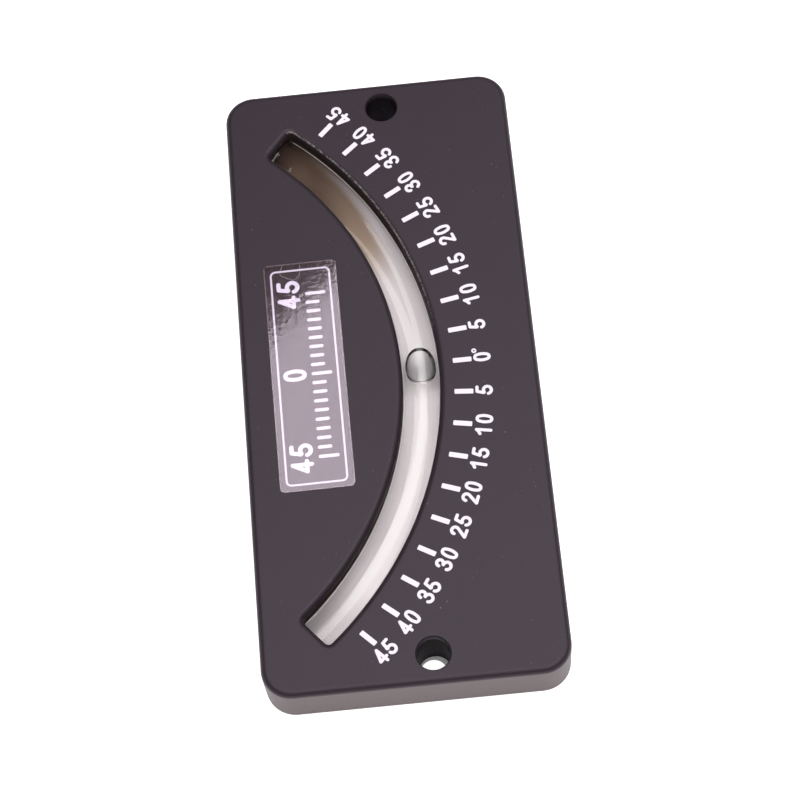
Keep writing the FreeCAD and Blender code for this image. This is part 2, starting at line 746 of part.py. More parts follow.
def make_scale_ticks():
    """White ticks, one every few degrees, from one end of the scale to the other."""
    body = make_arc_body("scale_ticks")
    sweep = size("tick_step") * (size("tick_count") - 1)
    place(body, turn=-sweep / 2)
    half_tick = size("tick_width") / 2
    inner_y = -size("tick_arc_radius") + size("tick_length") / 2
    outer_y = -size("tick_arc_radius") - size("tick_length") / 2
    outline = add_sketch(body, "tick_outline", offset=face_z)
    draw_rounded_rectangle(outline, -half_tick, half_tick, outer_y, inner_y, size("tick_corner_radius"))
    tick = extrude(body, "Pad", "tick", outline, size("ink_thickness"))
    ticks = body.newObject("PartDesign::PolarPattern", "ticks")
    ticks.Originals = [tick]
    ticks.Axis = (outline, ["N_Axis"])
    ticks.setExpression("Angle", sweep.text)
    ticks.setExpression("Occurrences", size("tick_count").text)
    body.Tip = ticks
    return body


def make_label_film():
    """A thin clear film with rounded corners, stuck on a little askew."""
    body = make_body("label_film")
    place(body, size("label_offset"), size("label_rise"), face_z, turn=size("label_tilt"))
    x = size("label_length") / 2
    y = size("label_width") / 2
    outline = add_sketch(body, "outline")
    draw_rounded_rectangle(outline, -x, x, -y, y, size("label_corner_radius"))
    extrude(body, "Pad", "film", outline, size("label_thickness"))
    return body


pieces = [
    make_housing(),
    make_vial_tube(),
    make_vial_liquid(),
    make_air_bubble(),
    make_vial_backing(),
    make_end_cushion("end_cushion_left", -1),
    make_end_cushion("end_cushion_right", 1),
    make_back_plate(),
    make_back_plate_screws(),
    make_scale_ticks(),
    make_label_film(),
]
doc.recompute()

# ---- Nothing is written unless every object and every shape is sound ----

for item in doc.Objects:
    if "Invalid" in item.State or "Error" in item.State:
        raise RuntimeError("%s is %s" % (item.Name, item.State))
for piece in pieces:
    if piece.Shape.isNull() or not piece.Shape.isValid():
        raise RuntimeError("%s has no sound shape" % piece.Label)

os.makedirs("parts", exist_ok=True)
for piece in pieces:
    piece.Shape.exportStep("parts/%s.step" % piece.Label)
    box = piece.Shape.BoundBox
    print("%-18s solids %2d  volume %9.2f  x %7.2f %7.2f  y %7.2f %7.2f  z %6.2f %6.2f" % (
        piece.Label, len(piece.Shape.Solids), piece.Shape.Volume,
        box.XMin, box.XMax, box.YMin, box.YMax, box.ZMin, box.ZMax))
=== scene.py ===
"""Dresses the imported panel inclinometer: glass vial, liquid, bubble, printed scale and label, in a small studio.

Lengths are in metres in the part's own frame: X runs along the gauge in the reading direction, +Y is the side of the
label, and Z points out of the face.
"""

import json
import math

import bmesh
import bpy
from mathutils import Matrix, Quaternion, Vector


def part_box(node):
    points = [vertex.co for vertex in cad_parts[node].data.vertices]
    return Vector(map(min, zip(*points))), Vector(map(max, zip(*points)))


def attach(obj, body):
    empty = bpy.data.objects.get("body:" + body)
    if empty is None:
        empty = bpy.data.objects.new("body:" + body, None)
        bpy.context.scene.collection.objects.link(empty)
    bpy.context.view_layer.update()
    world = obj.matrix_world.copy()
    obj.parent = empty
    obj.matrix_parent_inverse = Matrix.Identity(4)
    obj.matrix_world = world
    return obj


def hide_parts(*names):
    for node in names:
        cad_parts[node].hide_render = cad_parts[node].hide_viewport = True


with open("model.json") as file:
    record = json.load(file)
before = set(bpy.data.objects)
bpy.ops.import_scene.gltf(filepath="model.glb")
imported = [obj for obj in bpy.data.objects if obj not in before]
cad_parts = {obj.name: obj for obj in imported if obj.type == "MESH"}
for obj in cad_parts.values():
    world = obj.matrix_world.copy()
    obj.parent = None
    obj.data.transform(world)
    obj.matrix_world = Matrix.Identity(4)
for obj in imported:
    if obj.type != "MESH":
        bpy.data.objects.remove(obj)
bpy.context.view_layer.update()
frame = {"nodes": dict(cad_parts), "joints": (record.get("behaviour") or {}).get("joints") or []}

MM = 0.001

# ---- Places that the gauge gives ----

HOUSING_LOW, HOUSING_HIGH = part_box("housing")
FACE_Z = HOUSING_HIGH.z
JOINT = frame["joints"][0]
ARC_CENTRE = Vector(JOINT["pos_m"])
VIAL_LOW, VIAL_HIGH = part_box("vial_tube")
VIAL_RADIUS = (VIAL_HIGH.z - VIAL_LOW.z) / 2
VIAL_Z = (VIAL_HIGH.z + VIAL_LOW.z) / 2
VIAL_ARC_RADIUS = ARC_CENTRE.y - VIAL_LOW.y - VIAL_RADIUS
VIAL_HALF_ANGLE = math.asin((VIAL_HIGH.x - VIAL_RADIUS) / VIAL_ARC_RADIUS)
VIAL_WALL = 1.0 * MM
BORE_RADIUS = VIAL_RADIUS - VIAL_WALL
FILM_LOW, FILM_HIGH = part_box("label_film")
LABEL_CENTRE = (FILM_LOW + FILM_HIGH) / 2
LABEL_TILT = math.radians(0.4)
FILM_HALF_LENGTH = 25.5 * MM
FILM_HALF_WIDTH = 7.5 * MM
MOUNT_HOLE = Vector((61.35 * MM, -3.4 * MM, 0))
BUBBLE_LOW, BUBBLE_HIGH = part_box("air_bubble")
BUBBLE_CENTRE = (BUBBLE_LOW + BUBBLE_HIGH) / 2
BUBBLE_ANGLE = math.atan2(BUBBLE_CENTRE.x - ARC_CENTRE.x, ARC_CENTRE.y - BUBBLE_CENTRE.y)

TICK_STEP = math.radians(5)
TICKS_EACH_SIDE = 9
INK_HEIGHT = 0.05 * MM
INK_SINK = 0.002 * MM


def on_arc(radius, angle, height):
    """The point at this angle from the middle of the arc, towards +X."""
    return ARC_CENTRE + Vector((radius * math.sin(angle), -radius * math.cos(angle), height))


# ---- Materials ----


def new_material(name):
    material = bpy.data.materials.new(name)
    material.use_nodes = True
    nodes = material.node_tree.nodes
    nodes.clear()
    return material, nodes, material.node_tree.links


def add_node(nodes, kind, **settings):
    node = nodes.new(kind)
    for name, value in settings.items():
        setattr(node, name, value)
    return node


def mottled(nodes, links, pattern_size, colour, other, detail=5):
    """Two colours in soft clouds of the given size."""
    place = add_node(nodes, "ShaderNodeTexCoord")
    clouds = add_node(nodes, "ShaderNodeTexNoise")
    clouds.inputs["Scale"].default_value = 1 / pattern_size
    clouds.inputs["Detail"].default_value = detail
    tint = add_node(nodes, "ShaderNodeMix", data_type="RGBA")
    tint.inputs["A"].default_value = (*colour, 1)
    tint.inputs["B"].default_value = (*other, 1)
    links.new(place.outputs["Object"], clouds.inputs["Vector"])
    links.new(clouds.outputs["Fac"], tint.inputs["Factor"])
    return tint.outputs["Result"]


def grained(nodes, links, grain, relief, strength=0.6):
    """A fine even grain: its height, and the normal that it gives."""
    place = add_node(nodes, "ShaderNodeTexCoord")
    sparks = add_node(nodes, "ShaderNodeTexNoise")
    sparks.inputs["Scale"].default_value = 1 / grain
    sparks.inputs["Detail"].default_value = 3
    bump = add_node(nodes, "ShaderNodeBump")
    bump.inputs["Strength"].default_value = strength
    bump.inputs["Distance"].default_value = relief
    links.new(place.outputs["Object"], sparks.inputs["Vector"])
    links.new(sparks.outputs["Fac"], bump.inputs["Height"])
    return sparks.outputs["Fac"], bump.outputs["Normal"]


def grained_surface(name, colour, other, roughness, metallic=0.0, clouds=6 * MM, grain=0.28 * MM, relief=0.02 * MM):
    """An opaque surface with a fine grain that catches light, and clouds of a slightly different colour."""
    material, nodes, links = new_material(name)
    out = add_node(nodes, "ShaderNodeOutputMaterial")
    surface = add_node(nodes, "ShaderNodeBsdfPrincipled")
    surface.inputs["Metallic"].default_value = metallic
    shine = add_node(nodes, "ShaderNodeMapRange")
    shine.inputs["To Min"].default_value = roughness - 0.08
    shine.inputs["To Max"].default_value = roughness + 0.08
    height, normal = grained(nodes, links, grain, relief)
    links.new(mottled(nodes, links, clouds, colour, other), surface.inputs["Base Color"])
    links.new(height, shine.inputs["Value"])
    links.new(shine.outputs["Result"], surface.inputs["Roughness"])
    links.new(normal, surface.inputs["Normal"])
    links.new(surface.outputs["BSDF"], out.inputs["Surface"])
    return material


def clear_medium(name, ior, colour=(1, 1, 1)):
    """The boundary of a clear solid, liquid or gas. ior is that of the inside over that of the outside."""
    material, nodes, links = new_material(name)
    out = add_node(nodes, "ShaderNodeOutputMaterial")
    glass = add_node(nodes, "ShaderNodeBsdfGlass")
    glass.inputs["Color"].default_value = (*colour, 1)
    glass.inputs["Roughness"].default_value = 0.0
    glass.inputs["IOR"].default_value = ior
    links.new(glass.outputs["BSDF"], out.inputs["Surface"])
    return material


def math_node(nodes, links, operation, *values):
    """A Math node on values that are numbers or sockets."""
    node = add_node(nodes, "ShaderNodeMath", operation=operation)
    for place, value in enumerate(values):
        if isinstance(value, (int, float)):
            node.inputs[place].default_value = value
        else:
            links.new(value, node.inputs[place])
    return node.outputs[0]


def place_on_arc(nodes, links):
    """The angle from the middle of the arc towards +X, and the distance outwards from the vial's own arc."""
    place = add_node(nodes, "ShaderNodeTexCoord")
    centred = add_node(nodes, "ShaderNodeVectorMath", operation="SUBTRACT")
    centred.inputs[1].default_value = (0, ARC_CENTRE.y, VIAL_Z)
    axes = add_node(nodes, "ShaderNodeSeparateXYZ")
    links.new(place.outputs["Object"], centred.inputs[0])
    links.new(centred.outputs["Vector"], axes.inputs["Vector"])
    x, y = axes.outputs["X"], axes.outputs["Y"]
    turn = math_node(nodes, links, "ARCTAN2", x, math_node(nodes, links, "MULTIPLY", y, -1.0))
    square = math_node(nodes, links, "MULTIPLY", x, x)
    reach = math_node(nodes, links, "SQRT", math_node(nodes, links, "MULTIPLY_ADD", y, y, square))
    return turn, math_node(nodes, links, "SUBTRACT", reach, VIAL_ARC_RADIUS)


def step_node(nodes, links, value, start, end):
    """Rises softly from 0 to 1 as the value goes from start to end."""
    step = add_node(nodes, "ShaderNodeMapRange", interpolation_type="SMOOTHSTEP")
    step.inputs["From Min"].default_value = start
    step.inputs["From Max"].default_value = end
    links.new(value, step.inputs["Value"])
    return step.outputs["Result"]


def mix_colours(nodes, links, share, first, second):
    """A Mix node on colours that are numbers or sockets."""
    node = add_node(nodes, "ShaderNodeMix", data_type="RGBA")
    links.new(share, node.inputs["Factor"])
    for place, value in (("A", first), ("B", second)):
        if isinstance(value, tuple):
            node.inputs[place].default_value = (*value, 1)
        else:
            links.new(value, node.inputs[place])
    return node.outputs["Result"]


def clear_film(name):
    """A thin clear film, not stuck down quite flat: mirrors a little, is slightly hazy, and is worn along its edges."""
    material, nodes, links = new_material(name)
    out = add_node(nodes, "ShaderNodeOutputMaterial")
    height, waves = grained(nodes, links, FILM_WAVES, FILM_WAVE_HEIGHT, strength=0.5)
    through = add_node(nodes, "ShaderNodeBsdfTransparent")
    through.inputs["Color"].default_value = FILM_TINT
    mirror = add_node(nodes, "ShaderNodeBsdfGlossy")
    mirror.inputs["Roughness"].default_value = FILM_ROUGHNESS
    mirror.inputs["Color"].default_value = FILM_MIRROR
    edge_on = add_node(nodes, "ShaderNodeFresnel")
    edge_on.inputs["IOR"].default_value = FILM_IOR
    clear = add_node(nodes, "ShaderNodeMixShader")
    haze = add_node(nodes, "ShaderNodeBsdfDiffuse")
    haze.inputs["Color"].default_value = HAZE_GREY
    film = add_node(nodes, "ShaderNodeMixShader")
    place = add_node(nodes, "ShaderNodeTexCoord")
    centred = add_node(nodes, "ShaderNodeVectorMath", operation="SUBTRACT")
    centred.inputs[1].default_value = LABEL_CENTRE
    turned = add_node(nodes, "ShaderNodeVectorRotate", rotation_type="Z_AXIS")
    turned.inputs["Angle"].default_value = -LABEL_TILT
    axes = add_node(nodes, "ShaderNodeSeparateXYZ")
    links.new(place.outputs["Object"], centred.inputs[0])
    links.new(centred.outputs["Vector"], turned.inputs["Vector"])
    links.new(turned.outputs["Vector"], axes.inputs["Vector"])
    edges = []
    for axis, half in (("X", FILM_HALF_LENGTH), ("Y", FILM_HALF_WIDTH)):
        away = math_node(nodes, links, "ABSOLUTE", axes.outputs[axis])
        edges.append(step_node(nodes, links, away, half - WORN_EDGE, half))
    worn = math_node(nodes, links, "MULTIPLY", math_node(nodes, links, "MAXIMUM", *edges), height)
    share = math_node(nodes, links, "MULTIPLY_ADD", worn, EDGE_WEAR, FILM_HAZE)
    cloud = add_node(nodes, "ShaderNodeTexNoise")
    cloud.inputs["Scale"].default_value = 1 / FILM_CLOUDS
    cloud.inputs["Detail"].default_value = 6
    cloud.inputs["Roughness"].default_value = 0.65
    links.new(turned.outputs["Vector"], cloud.inputs["Vector"])
    begun = step_node(nodes, links, axes.outputs["X"], *CLOUDS_BEGIN)
    ended = step_node(nodes, links, axes.outputs["X"], *CLOUDS_END)
    clouded = math_node(nodes, links, "MULTIPLY", begun, ended)
    dense = step_node(nodes, links, cloud.outputs["Fac"], *CLOUD_DENSITY)
    clouded = math_node(nodes, links, "MULTIPLY", clouded, dense)
    share = math_node(nodes, links, "MULTIPLY_ADD", clouded, CLOUD_HAZE, share)
    links.new(waves, mirror.inputs["Normal"])
    links.new(edge_on.outputs["Fac"], clear.inputs["Fac"])
    links.new(through.outputs["BSDF"], clear.inputs[1])
    links.new(mirror.outputs["BSDF"], clear.inputs[2])
    links.new(share, film.inputs["Fac"])
    links.new(clear.outputs["Shader"], film.inputs[1])
    links.new(haze.outputs["BSDF"], film.inputs[2])
    links.new(film.outputs["Shader"], out.inputs["Surface"])
    return material


def housing_plastic(name):
    """Black plastic: satin on the face, shinier on the outer sides, less shiny in the holes and the window.

    Painted light makes the outer sides and the window's channel walls browner than the face.
    The window's outer rim gets a painted grey highlight towards the reading end.
    """
    material = grained_surface(name, *FACE_BLACKS, FACE_ROUGHNESS)
    nodes, links = material.node_tree.nodes, material.node_tree.links
    surface = nodes["Principled BSDF"]
    surface.inputs["Specular Tint"].default_value = FACE_SHEEN
    place = add_node(nodes, "ShaderNodeTexCoord")
    axes = add_node(nodes, "ShaderNodeSeparateXYZ")
    links.new(place.outputs["Object"], axes.inputs["Vector"])
    depth = step_node(nodes, links, axes.outputs["Z"], *(FACE_Z - down for down in SIDE_DEPTHS))
    edges = []
    for axis, half in (("X", HOUSING_HIGH.x), ("Y", HOUSING_HIGH.y)):
        away = math_node(nodes, links, "ABSOLUTE", axes.outputs[axis])
        edges.append(math_node(nodes, links, "GREATER_THAN", away, half - SIDE_BAND))
    outside = math_node(nodes, links, "MAXIMUM", *edges)
    side = math_node(nodes, links, "MULTIPLY", depth, outside)
    inside = math_node(nodes, links, "SUBTRACT", depth, side)
    # Painted highlight: a sparkly grey line on the window's outer rim, towards the reading end.
    turn, outward = place_on_arc(nodes, links)
    below = step_node(nodes, links, axes.outputs["Z"], *(FACE_Z - down for down in RIM_TOP))
    deeper = step_node(nodes, links, axes.outputs["Z"], *(FACE_Z - down for down in RIM_FOOT))
    rim = math_node(nodes, links, "SUBTRACT", below, deeper)
    past_vial = step_node(nodes, links, outward, *OUTER_WALL)
    wall = math_node(nodes, links, "MULTIPLY", past_vial, step_node(nodes, links, outward, *CHANNEL_REACH))
    far = math_node(nodes, links, "MULTIPLY", wall, step_node(nodes, links, turn, *RIM_ANGLES))
    rim_highlight = math_node(nodes, links, "MULTIPLY", rim, far)
    rim_highlight = math_node(nodes, links, "MULTIPLY", rim_highlight, math_node(nodes, links, "SUBTRACT", 1.0, outside))
    rim_specks = add_node(nodes, "ShaderNodeTexNoise")
    rim_specks.inputs["Scale"].default_value = 1 / RIM_HIGHLIGHT_SPECKS
    rim_specks.inputs["Detail"].default_value = 2
    links.new(place.outputs["Object"], rim_specks.inputs["Vector"])
    specked = step_node(nodes, links, rim_specks.outputs["Fac"], *RIM_SPECK_DENSITY)
    rim_highlight = math_node(nodes, links, "MULTIPLY", rim_highlight, specked)
    black = surface.inputs["Base Color"].links[0].from_socket
    # Painted light: the outer sides get a lighter, browner base than the face, for the light that they catch.
    colour = mix_colours(nodes, links, side, black, SIDE_PAINTED_LIGHT_BROWN)
    # Painted light: the window's channel walls get a lighter brown than the face, for the light that they catch.
    away = math_node(nodes, links, "ABSOLUTE", outward)
    channel = math_node(nodes, links, "MULTIPLY", inside, step_node(nodes, links, away, *CHANNEL_REACH))
    colour = mix_colours(nodes, links, channel, colour, CHANNEL_PAINTED_LIGHT_BROWN)
    dust = add_node(nodes, "ShaderNodeTexNoise")
    dust.inputs["Scale"].default_value = 1 / DUST_SIZE
    dust.inputs["Detail"].default_value = 1
    links.new(place.outputs["Object"], dust.inputs["Vector"])
    dusty = step_node(nodes, links, dust.outputs["Fac"], *DUST_DENSITY)
    colour = mix_colours(nodes, links, dusty, colour, DUST_GREY)
    # The painted rim highlight goes over all of it.
    links.new(mix_colours(nodes, links, rim_highlight, colour, RIM_HIGHLIGHT_GREY), surface.inputs["Base Color"])
    shine = math_node(nodes, links, "MULTIPLY_ADD", side, SIDE_SHINE - FACE_SHINE, FACE_SHINE)
    shine = math_node(nodes, links, "MULTIPLY_ADD", inside, INSIDE_SHINE - FACE_SHINE, shine)
    links.new(shine, surface.inputs["Specular IOR Level"])
    return material


def vial_sleeve(name):
    """White plastic, darkened to brown by painted shade at the reading end, and a little greyer at the far end.

    The painted shade reaches further along the inner side than along the outer one.
    """
    material, nodes, links = new_material(name)
    out = add_node(nodes, "ShaderNodeOutputMaterial")
    plastic = add_node(nodes, "ShaderNodeBsdfPrincipled")
    plastic.inputs["Roughness"].default_value = SLEEVE_ROUGHNESS
    plastic.inputs["Specular IOR Level"].default_value = SLEEVE_SHINE
    turn, outward = place_on_arc(nodes, links)
    # Painted shade: the sleeve darkens to brown towards the reading end, earlier along the inner side.
    outer = math_node(nodes, links, "MAXIMUM", math_node(nodes, links, "SUBTRACT", outward, PAINTED_SHADE_LAG_START), 0.0)
    square = math_node(nodes, links, "MULTIPLY", outer, outer)
    inner = math_node(nodes, links, "SUBTRACT", PAINTED_SHADE_LEAD_START, outward)
    inner = math_node(nodes, links, "MAXIMUM", inner, 0.0)
    led = math_node(nodes, links, "MULTIPLY_ADD", inner, PAINTED_SHADE_LEAD, turn)
    # The sleeve turns greyer towards the far end.
    far_grey = step_node(nodes, links, turn, *FAR_GREY_ANGLES)
    colour = mottled(nodes, links, SLEEVE_CLOUDS, SLEEVE_WHITE, SLEEVE_SHADE)
    colour = mix_colours(nodes, links, far_grey, colour, SLEEVE_FAR_GREY)
    # Each painted shade in turn, tan, then brown, then nearly black.
    for shade_colour, start, end, sweep in PAINTED_SHADES:
        along = math_node(nodes, links, "MULTIPLY_ADD", square, -math.radians(sweep) / MM ** 2, led)
        share = step_node(nodes, links, along, math.radians(start), math.radians(end))
        colour = mix_colours(nodes, links, share, colour, shade_colour)
    links.new(colour, plastic.inputs["Base Color"])
    links.new(plastic.outputs["BSDF"], out.inputs["Surface"])
    return material


FACE_BLACKS = ((0.0135, 0.0085, 0.0140), (0.0175, 0.0115, 0.0175))
FACE_ROUGHNESS = 0.5
FACE_SHEEN = (1.0, 0.89, 1.0, 1)
# Painted light on the outer sides.
SIDE_PAINTED_LIGHT_BROWN = (0.038, 0.017, 0.015)
# Painted highlight on the window's outer rim.
RIM_HIGHLIGHT_GREY = (0.26, 0.245, 0.235)
RIM_HIGHLIGHT_SPECKS = 0.35 * MM
# Painted light on the window's channel walls.
CHANNEL_PAINTED_LIGHT_BROWN = (0.045, 0.036, 0.028)
RIM_SPECK_DENSITY = (0.38, 0.62)
DUST_SIZE = 0.45 * MM
DUST_GREY = (0.16, 0.15, 0.16)
DUST_DENSITY = (0.79, 0.83)
RIM_ANGLES = (math.radians(2), math.radians(20))
RIM_TOP = (0.1 * MM, 0.3 * MM)
RIM_FOOT = (0.3 * MM, 0.6 * MM)
OUTER_WALL = (3 * MM, 3.5 * MM)
CHANNEL_REACH = (8 * MM, 7.5 * MM)
SIDE_DEPTHS = (0.7 * MM, 1.7 * MM)
SIDE_BAND = 2.5 * MM
FACE_SHINE = 0.40
SIDE_SHINE = 0.75
INSIDE_SHINE = 0.02
FILM_IOR = 1.92
FILM_HAZE = 0.02
FILM_TINT = (1.0, 0.985, 1.0, 1)
FILM_MIRROR = (1.0, 0.88, 1.0, 1)
FILM_ROUGHNESS = 0.045
FILM_WAVES = 1.0 * MM
FILM_WAVE_HEIGHT = 0.015 * MM
HAZE_GREY = (0.85, 0.72, 0.76, 1)
FILM_CLOUDS = 2.5 * MM
CLOUD_DENSITY = (0.48, 0.68)
CLOUDS_BEGIN = (4 * MM, 11 * MM)
CLOUDS_END = (22 * MM, 16 * MM)
CLOUD_HAZE = 0.10
EDGE_WEAR = 0.35
WORN_EDGE = 0.35 * MM
SLEEVE_ROUGHNESS = 0.6
SLEEVE_SHINE = 0.2
SLEEVE_CLOUDS = 4 * MM
SLEEVE_WHITE = (0.95, 0.895, 0.90)
SLEEVE_SHADE = (0.94, 0.88, 0.90)
# The grey that the sleeve turns towards the far end, and the angles over which it does.
SLEEVE_FAR_GREY = (0.62, 0.57, 0.575)
FAR_GREY_ANGLES = (math.radians(-36), math.radians(-47))
# Painted shade towards the reading end of the sleeve.
# Colour, where it begins and where it is full in degrees, and how much later it begins outwards in degrees per mm^2.
PAINTED_SHADES = [
    ((0.48, 0.36, 0.265), 17, 28, 5.5),
    ((0.130, 0.085, 0.059), 24, 42, 1.6),
    ((0.032, 0.020, 0.014), 44, 54, 0.5),
]
GLASS_INDEX = 1.47
LIQUID_INDEX = 1.37
# Where the painted shade begins later outwards, and how far it leads along the inner side.
PAINTED_SHADE_LAG_START = 0.5 * MM
PAINTED_SHADE_LEAD_START = -1.5 * MM
PAINTED_SHADE_LEAD = math.radians(3) / MM

HOUSING_PLASTIC = housing_plastic("housing_plastic_black")
PLATE_PLASTIC = grained_surface("plate_plastic_black", (0.020, 0.018, 0.020), (0.027, 0.024, 0.026), 0.45)
SCREW_STEEL = grained_surface(
    "screw_steel_zinc", (0.60, 0.60, 0.62), (0.52, 0.52, 0.53), 0.35, metallic=1.0, clouds=1 * MM
)
VIAL_GLASS = clear_medium("vial_glass_clear", GLASS_INDEX)
VIAL_LIQUID = clear_medium("vial_liquid_clear", LIQUID_INDEX / GLASS_INDEX)
BUBBLE_AIR = clear_medium("bubble_air", 1 / LIQUID_INDEX)
SLEEVE_PLASTIC = vial_sleeve("vial_sleeve_white")
CUSHION_RUBBER = grained_surface("cushion_rubber_black", (0.020, 0.019, 0.018), (0.030, 0.028, 0.027), 0.7)
INK_WHITE = grained_surface(
    "ink_white_print", (0.84, 0.81, 0.90), (0.78, 0.75, 0.84), 0.55, clouds=0.8 * MM, relief=0.01 * MM
)
FILM_CLEAR = clear_film("label_film_clear")
CREASE_GREY = grained_surface("film_crease_grey", (0.30, 0.25, 0.27), (0.16, 0.13, 0.14), 0.5, clouds=0.5 * MM)


# ---- Pieces ----


def finish_piece(name, bm, material, body="gauge", smooth=True):
    """Makes the mesh an object in the part's frame, smooth unless asked otherwise, and lets it ride on a body."""
    bmesh.ops.recalc_face_normals(bm, faces=bm.faces)
    mesh = bpy.data.meshes.new(name)
    bm.to_mesh(mesh)
    bm.free()
    mesh.materials.append(material)
    mesh.polygons.foreach_set("use_smooth", [smooth] * len(mesh.polygons))
    piece = bpy.data.objects.new(name, mesh)
    bpy.context.scene.collection.objects.link(piece)
    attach(piece, body)
    return piece


def only(elements, kind):
    return [element for element in elements if isinstance(element, kind)]


def bent_rod(radius, rounds=96, steps=100, dome_rows=10):
    """A round rod along the vial's arc with a dome at each end: half of it is spun, and then mirrored."""
    bm = bmesh.new()
    across = Matrix.Translation(on_arc(VIAL_ARC_RADIUS, 0, VIAL_Z)) @ Matrix.Rotation(math.pi / 2, 4, "Y")
    bmesh.ops.create_circle(bm, segments=rounds, radius=radius, matrix=across)
    spun = bmesh.ops.spin(
        bm, geom=bm.edges[:], cent=ARC_CENTRE, axis=(0, 0, 1), angle=VIAL_HALF_ANGLE, steps=steps
    )
    ring = only(spun["geom_last"], bmesh.types.BMEdge)
    end = on_arc(VIAL_ARC_RADIUS, VIAL_HALF_ANGLE, VIAL_Z)
    onward = Vector((math.cos(VIAL_HALF_ANGLE), math.sin(VIAL_HALF_ANGLE), 0))
    for row in range(1, dome_rows + 1):
        before, now = (math.pi / 2 * step / dome_rows for step in (row - 1, row))
        grown = bmesh.ops.extrude_edge_only(bm, edges=ring)["geom"]
        ring = only(grown, bmesh.types.BMEdge)
        ring = [edge for edge in ring if all(vert in grown for vert in edge.verts)]
        verts = only(grown, bmesh.types.BMVert)
        centre = end + onward * radius * math.sin(before)
        share = max(math.cos(now), 1e-4) / math.cos(before)
        bmesh.ops.scale(bm, vec=(share,) * 3, space=Matrix.Translation(-centre), verts=verts)
        bmesh.ops.translate(bm, vec=onward * radius * (math.sin(now) - math.sin(before)), verts=verts)
    bmesh.ops.pointmerge(bm, verts=verts, merge_co=end + onward * radius)
    bmesh.ops.mirror(bm, geom=bm.verts[:] + bm.edges[:] + bm.faces[:], axis="X", merge_dist=0.001 * MM)
    return bm


def make_vial():
    tube = finish_piece("vial_tube_glass", bent_rod(VIAL_RADIUS), VIAL_GLASS)
    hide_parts("vial_tube")
    liquid = finish_piece("vial_liquid_fill", bent_rod(BORE_RADIUS), VIAL_LIQUID)
    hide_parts("vial_liquid")


BUBBLE_HALF_LENGTH = 3.9 * MM
BUBBLE_HALF_WIDTH = 2.6 * MM
BUBBLE_RIM_RISE = 1.27 * MM
BUBBLE_SAG = 0.45 * MM
BUBBLE_TOP = BORE_RADIUS - 0.08 * MM
BUBBLE_ROLL = math.radians(3)
BUBBLE_OUTLINE = 2.3
BUBBLE_SHOULDER = 6
BUBBLE_BELLY = 2.2
BUBBLE_TAPER = 0.03


def make_bubble():
    """An air bubble pressed against the top of the bore, with a tight edge and a nearly flat underside."""
    bm = bmesh.new()
    bmesh.ops.create_uvsphere(bm, u_segments=96, v_segments=96, radius=1)
    for vert in bm.verts:
        along, across, up = vert.co
        out = min(math.hypot(along, across), 1)
        corner = (abs(along) ** BUBBLE_OUTLINE + abs(across) ** BUBBLE_OUTLINE) ** (1 / BUBBLE_OUTLINE) or 1
        x = BUBBLE_HALF_LENGTH * along * out / corner
        y = BUBBLE_HALF_WIDTH * across * out / corner * (1 - BUBBLE_TAPER * along)
        if up >= 0:
            shoulder = (1 - out ** BUBBLE_SHOULDER) ** (1 / BUBBLE_SHOULDER)
            z = shoulder * (math.sqrt(BUBBLE_TOP ** 2 - y ** 2) - BUBBLE_RIM_RISE)
        else:
            z = -((1 - out ** BUBBLE_BELLY) ** (1 / BUBBLE_BELLY)) * BUBBLE_SAG
        vert.co = (x, y, BUBBLE_RIM_RISE + z)
    bmesh.ops.rotate(bm, matrix=Matrix.Rotation(BUBBLE_ROLL, 3, "X"), verts=bm.verts)
    bmesh.ops.rotate(bm, matrix=Matrix.Rotation(BUBBLE_ANGLE, 3, "Z"), verts=bm.verts)
    bmesh.ops.translate(bm, vec=on_arc(VIAL_ARC_RADIUS, BUBBLE_ANGLE, VIAL_Z), verts=bm.verts)
    bubble = finish_piece("air_bubble_clear", bm, BUBBLE_AIR, body="bubble")
    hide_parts("air_bubble")


# A glyph is a few strokes of the pen. A stroke has its start, its heading in degrees, and moves: a straight length,
# or a bend's radius and turn, which is negative to the right. Millimetres, from the middle of the baseline.
GLYPHS = {
    "0": [((0.70, 1.455), 90, [(3.385, 18.7), (0.55, 142.6), (3.385, 37.4), (0.55, 142.6), (3.385, 18.7)])],
    "1": [((0.18, 0.0), 90, [2.88]), ((0.18, 2.85), 235, [(2.23, -30)])],
    "2": [((-0.70, 2.20), 90, [(0.71, -216.8), 2.2]), ((-0.73, 0.0), 0, [1.46])],
    "3": [((-0.69, 2.28), 90, [(0.66, -262), 0.12]), ((-0.09, 1.54), 5, [(0.77, -262)])],
    "4": [((0.30, 2.86), 242, [2.43]), ((-0.85, 0.72), 0, [1.68]), ((0.30, 2.88), 270, [2.88])],
    "5": [((0.66, 2.88), 180, [0.98]), ((-0.32, 2.88), 258, [1.40]), ((-0.51, 1.43), 38, [(0.80, -293)])],
    "degree": [((0.35, 0.0), 90, [(0.35, 360)])],
}
PEN_WIDTH = 0.66 * MM
BEND_STEP = 12
NIB = [(-1, 0), (-0.85, 0.5), (-0.5, 0.85), (0, 1), (0.5, 0.85), (0.85, 0.5), (1, 0)]


def half_turn(bm, edges, centre, turn, steps=8):
    """Rounds off a stroke's end with half of its own section."""
    half = [edge for edge in edges if all((vert.co - centre).dot(turn) > -1e-9 for vert in edge.verts)]
    copied = bmesh.ops.duplicate(bm, geom=half)["geom"]
    bmesh.ops.spin(bm, geom=only(copied, bmesh.types.BMEdge), cent=centre, axis=(0, 0, 1), angle=math.pi, steps=steps)


